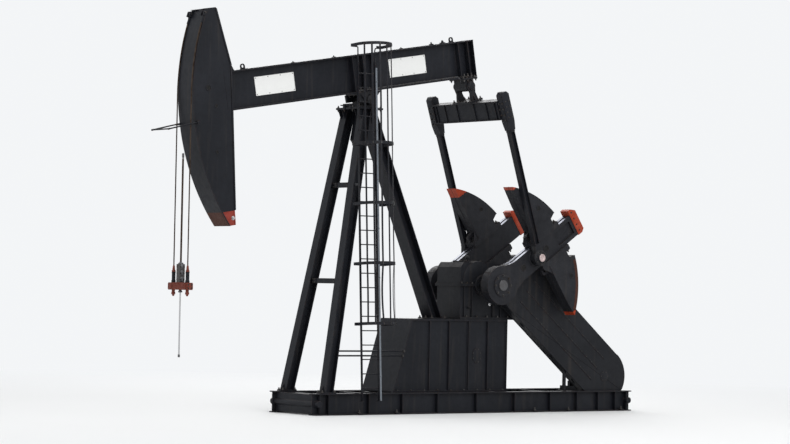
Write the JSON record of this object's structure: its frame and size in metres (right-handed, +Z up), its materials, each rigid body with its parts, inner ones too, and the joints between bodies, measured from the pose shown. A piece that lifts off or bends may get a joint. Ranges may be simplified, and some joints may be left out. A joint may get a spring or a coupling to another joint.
{
  "type": "beam pumping unit",
  "caption": "Conventional beam pumping unit: walking beam on a three-legged post, curved head with rod hanger, equalizer, pitmans, cranks with fin counterweights, reducer and ladder.",
  "frame": {"origin": "on the base's underside, in the middle of the unit's width, straight below the centre bearing", "axes": "+X from the head towards the tail and the motor, +Z up, +Y to the side away from the ladder"},
  "size_m": [12.4434, 2.9443, 8.4349],
  "materials": {
    "frame_paint": "satin",
    "machine_paint": "satin",
    "casting_paint": "satin",
    "red_paint": "satin",
    "orange_paint": "satin",
    "white_plate": "satin",
    "rope_steel": "dull",
    "rod_steel": "polished",
    "shaft_steel": "satin"
  },
  "bodies": {
    "frame": {"skid_runners": "frame_paint", "skid_cross_members": "frame_paint", "pedestal": "frame_paint", "front_leg_near": "frame_paint", "front_leg_far": "frame_paint", "rear_leg": "frame_paint", "tie_rails": "frame_paint", "post_gusset": "frame_paint", "post_bars": "frame_paint", "post_cap": "frame_paint", "ladder": "frame_paint", "ladder_brackets": "frame_paint", "cage_hoops": "frame_paint", "cage_bars": "frame_paint", "gear_reducer": "machine_paint", "belt_guard": "machine_paint", "motor": "machine_paint", "brake": "machine_paint", "centre_bearing": "machine_paint"},
    "beam": {"walking_beam": "frame_paint", "horsehead": "frame_paint", "beam_saddle": "machine_paint", "lifting_eyes": "machine_paint", "tail_bearing": "machine_paint", "head_tip": "red_paint", "rope_guide": "frame_paint", "name_plates": "white_plate", "head_ropes": "rope_steel"},
    "equalizer": {"equalizer": "frame_paint", "pitman_near": "frame_paint", "pitman_far": "frame_paint", "equalizer_yoke": "machine_paint", "wrist_bearings": "machine_paint"},
    "crank": {"crankshaft": "shaft_steel", "crank_near": "casting_paint", "crank_far": "casting_paint", "weight_near_upper": "casting_paint", "weight_near_lower": "casting_paint", "weight_far_upper": "casting_paint", "weight_far_lower": "casting_paint", "crank_caps": "orange_paint"},
    "hanger": {"hanger_ropes": "rope_steel", "carrier_bar": "red_paint", "rod_clamp": "shaft_steel", "polished_rod": "rod_steel"}
  },
  "joints": [
    {"name": "beam_rock", "type": "hinge", "parent": "frame", "child": "beam", "pos_m": [0, 0, 6.75], "axis": [0, 1, 0], "range_deg": [-13.5, 18]},
    {"name": "equalizer_pivot", "type": "hinge", "parent": "beam", "child": "equalizer", "pos_m": [2.79363, 0, 7.23254], "axis": [0, 1, 0], "range_deg": [-18.5, 14]},
    {"name": "crank_turn", "type": "hinge", "parent": "frame", "child": "crank", "pos_m": [3.08, 0, 2.812], "axis": [0, 1, 0], "continuous": true},
    {"name": "hanger_lift", "type": "slide", "parent": "frame", "child": "hanger", "axis": [0, 0, 1], "range_m": [-1.1, 1.46], "deforming": ["hanger_ropes"]}
  ],
  "couplings": [
    {"joint": "equalizer_pivot", "follows": "beam_rock", "ratio": -1},
    {"joint": "hanger_lift", "follows": "beam_rock", "m_per_rad": 4.62}
  ]
}
